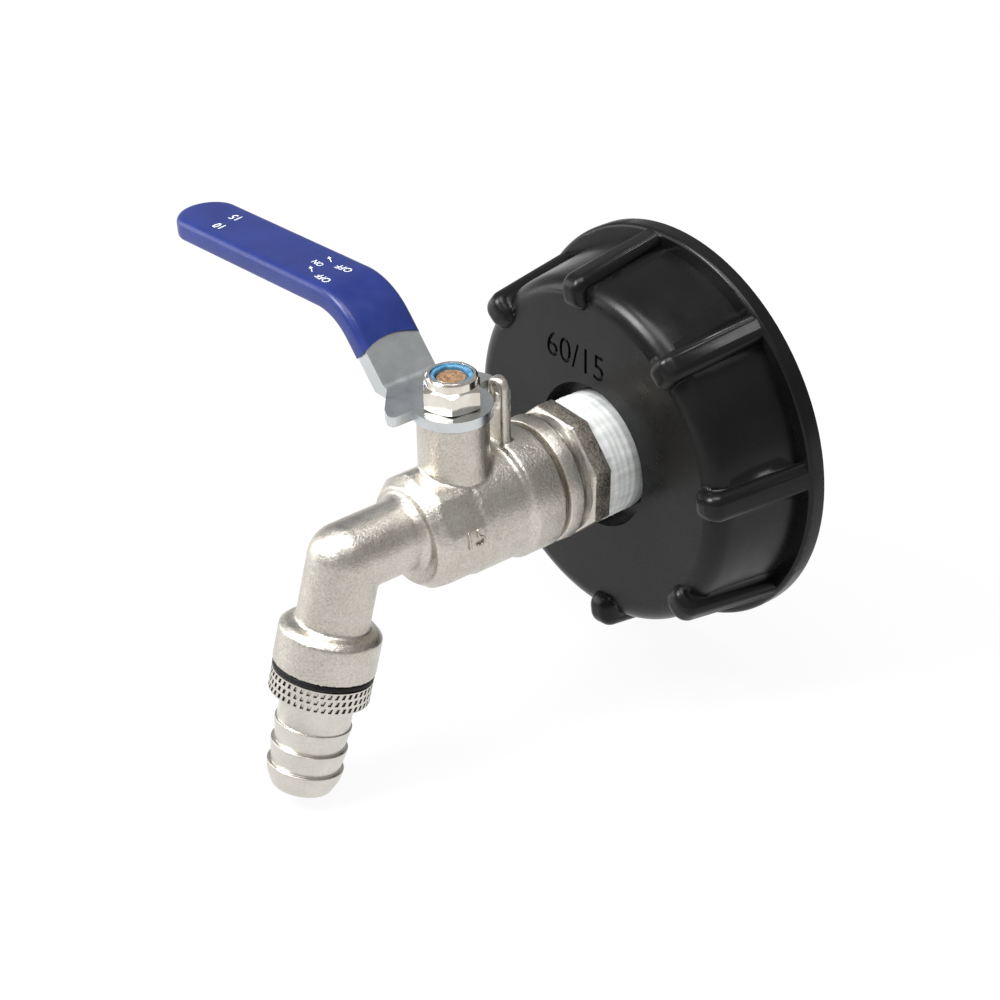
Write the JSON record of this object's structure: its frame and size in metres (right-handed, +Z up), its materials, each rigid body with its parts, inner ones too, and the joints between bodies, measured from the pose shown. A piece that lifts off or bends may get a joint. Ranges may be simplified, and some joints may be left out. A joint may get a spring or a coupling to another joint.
{
  "type": "IBC tank valve",
  "caption": "Screw cap for a coarse 60 mm tank neck carrying a quarter-turn ball tap with a turned-down spout and a barbed hose tail.",
  "frame": {"origin": "centre of the screw cap's open mouth", "axes": "+Y along the flow axis towards the tank, +Z up along the stem, +X to the right; the lever is stored closed, pointing along -X"},
  "size_m": [0.1226, 0.0981, 0.0842],
  "materials": {
    "cap_plastic": "moulded black, satin",
    "gasket_rubber": "matt black",
    "thread_tape": "matt white",
    "cast_nickel": "sand-cast and nickel plated, satin",
    "seal_rubber": "matt black",
    "seat_ptfe": "smooth white",
    "ball_chrome": "polished",
    "stem_brass": "turned, tarnished to copper brown",
    "lever_zinc": "zinc plated, smooth",
    "grip_vinyl": "dipped blue vinyl, satin",
    "nut_nickel": "nickel plated, polished",
    "nut_nylon": "blue nylon",
    "tail_nickel": "turned and nickel plated, satin bright"
  },
  "bodies": {
    "valve": {"tank_cap": "cap_plastic", "cap_gasket": "gasket_rubber", "ptfe_tape": "thread_tape", "inlet_connector": "cast_nickel", "connector_o_ring": "seal_rubber", "rear_seat": "seat_ptfe", "front_seat": "seat_ptfe", "valve_body": "cast_nickel", "stem_thrust_washer": "seat_ptfe", "outlet_washer": "seal_rubber", "hose_tail": "tail_nickel"},
    "handle": {"stem": "stem_brass", "stem_o_ring_lower": "seal_rubber", "stem_o_ring_upper": "seal_rubber", "lever_plate": "lever_zinc", "lever_grip": "grip_vinyl", "lock_nut": "nut_nickel", "lock_nut_insert": "nut_nylon"},
    "ball_body": {"ball": "ball_chrome"}
  },
  "joints": [
    {"name": "lever_turn", "type": "hinge", "parent": "valve", "child": "handle", "pos_m": [0, -0.0547, 0.0224], "axis": [0, 0, 1], "range_deg": [0, 180]},
    {"name": "ball_turn", "type": "hinge", "parent": "valve", "child": "ball_body", "pos_m": [0, -0.0547, 0], "axis": [0, 0, 1], "range_deg": [0, 180]}
  ],
  "couplings": [
    {"joint": "ball_turn", "follows": "lever_turn", "ratio": 1}
  ]
}
